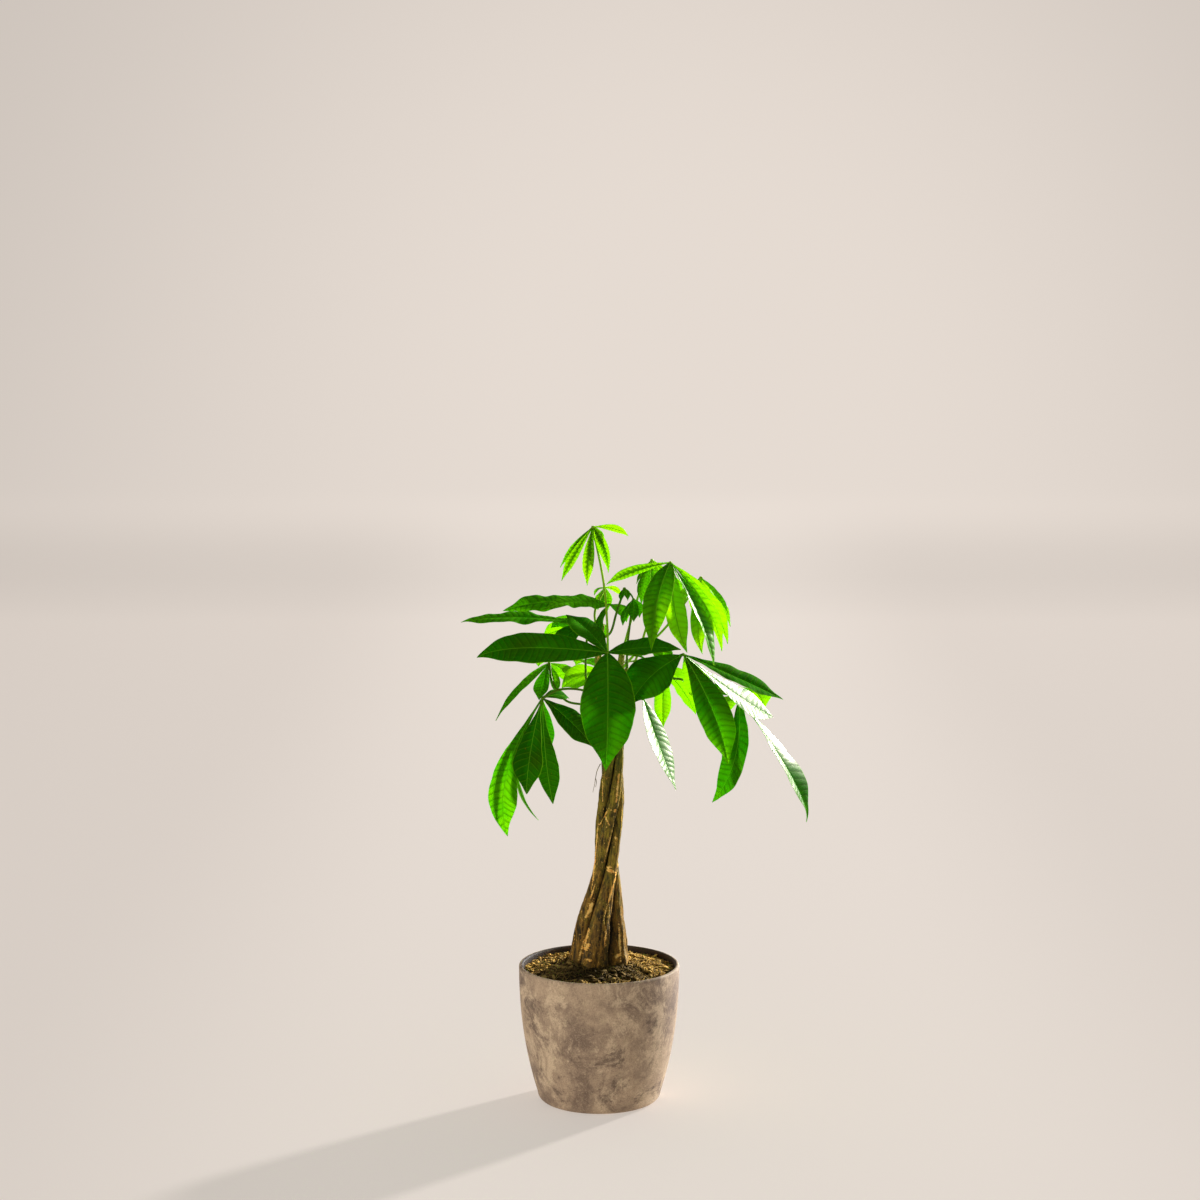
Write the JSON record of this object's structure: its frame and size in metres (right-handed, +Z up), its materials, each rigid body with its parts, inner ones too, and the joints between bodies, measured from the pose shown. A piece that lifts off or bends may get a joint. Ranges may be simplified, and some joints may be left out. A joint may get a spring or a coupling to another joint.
{
  "type": "potted money tree",
  "caption": "Money tree with a twisted trunk and hand-shaped leaves on long stalks, growing in a tapered stone-look pot.",
  "frame": {"origin": "middle of the pot's flat foot, on the surface it stands on", "axes": "+Z up along the trunk, -Y towards the plant's front, +X to its right as seen from the front"},
  "size_m": [0.3882, 0.2787, 0.6519],
  "materials": {
    "pot": "matte, mottled taupe",
    "soil": "crumbly, dry on top",
    "bark": "rough, grooved lengthwise",
    "leaf": "satin",
    "young_leaf": "satin"
  },
  "bodies": {
    "root": {"pot": "pot", "soil": "soil", "stem_right": "bark", "stem_back": "bark", "stem_left": "bark", "stem_front": "bark", "leaf_crown": "young_leaf", "leaf_upper_right": "young_leaf", "leaf_upper_back": "young_leaf", "leaf_far_right": "young_leaf", "leaf_small": "young_leaf", "leaf_upper_left": "leaf", "leaf_mid_left": "leaf", "leaf_front": "leaf", "leaf_front_right": "leaf", "leaf_lower_right": "leaf", "leaf_under": "leaf", "leaf_lower_left": "leaf", "leaf_left_behind": "leaf", "leaf_back_left": "leaf", "leaf_bud_left": "leaf", "leaf_bud_right": "leaf", "leaf_back_right": "leaf"}
  },
  "joints": []
}
